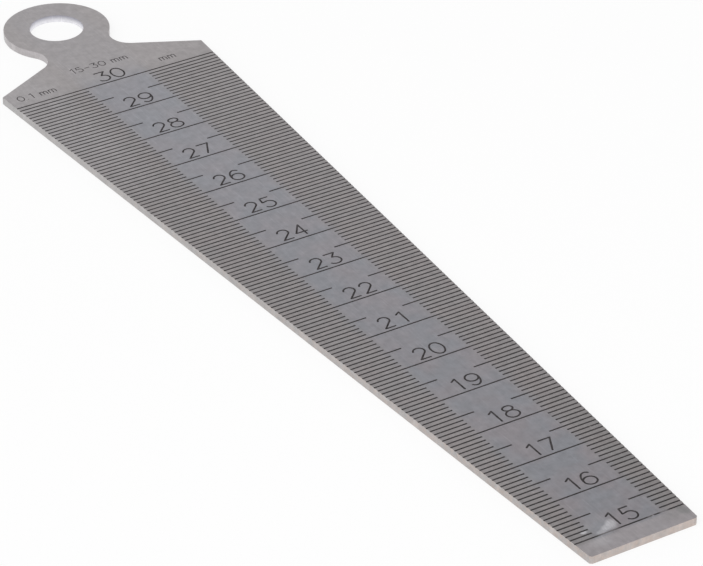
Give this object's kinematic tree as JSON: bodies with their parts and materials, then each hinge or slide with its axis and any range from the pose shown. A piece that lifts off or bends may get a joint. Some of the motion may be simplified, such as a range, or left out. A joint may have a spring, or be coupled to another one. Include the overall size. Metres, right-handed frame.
{
  "type": "taper gauge",
  "caption": "Flat tapered steel gauge with an engraved millimetre scale along both edges of one face and a hanging eye at its wide end.",
  "frame": {"origin": "middle of the plate's length and width, on its underside", "axes": "+Y along the plate from the narrow tip to the hanging eye, +Z out of the engraved face, +X to the right of the scale when its numbers are read upright"},
  "size_m": [0.0304, 0.1474, 0.001],
  "materials": {
    "gauge_plate": "satin",
    "engraving_paint": "matt"
  },
  "bodies": {
    "root": {"gauge_plate": "gauge_plate"}
  },
  "joints": []
}
